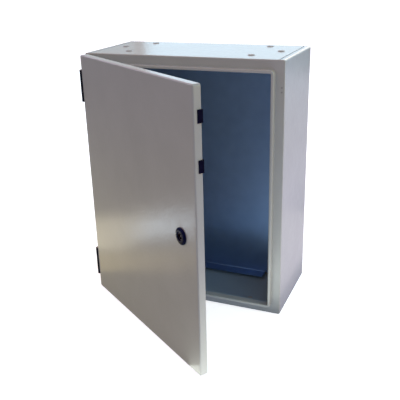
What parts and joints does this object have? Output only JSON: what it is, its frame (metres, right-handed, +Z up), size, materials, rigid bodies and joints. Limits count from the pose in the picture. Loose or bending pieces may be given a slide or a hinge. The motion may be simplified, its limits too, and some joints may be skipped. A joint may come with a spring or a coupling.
{
  "type": "steel wall enclosure",
  "caption": "Grey sheet-steel wall cabinet with a side-hinged tray door, quarter-turn lock, rain-channel frame and galvanised mounting plate.",
  "frame": {"origin": "centre of the four-hole wall fixing pattern on the outer face of the back", "axes": "+Z up, +Y into the wall, front towards -Y, +X to the lock side"},
  "size_m": [0.4045, 0.4246, 0.5012],
  "materials": {
    "body_paint": "light grey textured powder coat",
    "door_paint": "light grey textured powder coat",
    "plate_zinc": "galvanised sheet steel, semi-bright",
    "bright_steel": "zinc plated steel",
    "earth_brass": "plain brass",
    "plug_plastic": "moulded grey plastic",
    "black_plastic": "moulded black plastic",
    "black_metal": "black coated die-cast metal",
    "lock_black": "black moulded lock head",
    "lock_metal": "plated die-cast insert",
    "foam": "foamed polyurethane seal"
  },
  "bodies": {
    "body": {"body_wrap": "body_paint", "left_side_panel": "body_paint", "right_side_panel": "body_paint", "front_frame": "body_paint", "mounting_plate": "plate_zinc", "plate_studs": "bright_steel", "plate_spacers": "bright_steel", "plate_washers": "bright_steel", "plate_nuts": "bright_steel", "body_earth_stud": "earth_brass", "body_earth_washer": "bright_steel", "body_earth_nut": "earth_brass", "top_hole_plugs": "plug_plastic", "bottom_hole_plugs": "plug_plastic", "upper_body_leaf": "black_metal", "upper_hinge_pin": "bright_steel", "lower_body_leaf": "black_metal", "lower_hinge_pin": "bright_steel", "body_leaf_screws": "black_metal", "body_leaf_nuts": "bright_steel"},
    "door": {"door_panel": "door_paint", "door_gasket": "foam", "edge_buffers": "black_plastic", "door_earth_stud": "earth_brass", "door_earth_washer": "bright_steel", "door_earth_nut": "earth_brass", "upper_door_leaf": "black_metal", "lower_door_leaf": "black_metal", "door_leaf_screws": "bright_steel", "lock_housing": "lock_black", "lock_seal": "foam", "lock_nut": "bright_steel"},
    "lock": {"lock_core": "lock_metal", "lock_cam": "plate_zinc", "cam_washer": "bright_steel", "cam_screw": "bright_steel"}
  },
  "joints": [
    {"name": "door_swing", "type": "hinge", "parent": "body", "child": "door", "pos_m": [-0.201, -0.2012, 0], "axis": [0, 0, -1], "range_deg": [-34, 86]},
    {"name": "lock_turn", "type": "hinge", "parent": "door", "child": "lock", "pos_m": [0.09203, -0.39982, -0.003], "axis": [-0.5592, -0.829, 0], "range_deg": [0, 90]}
  ]
}
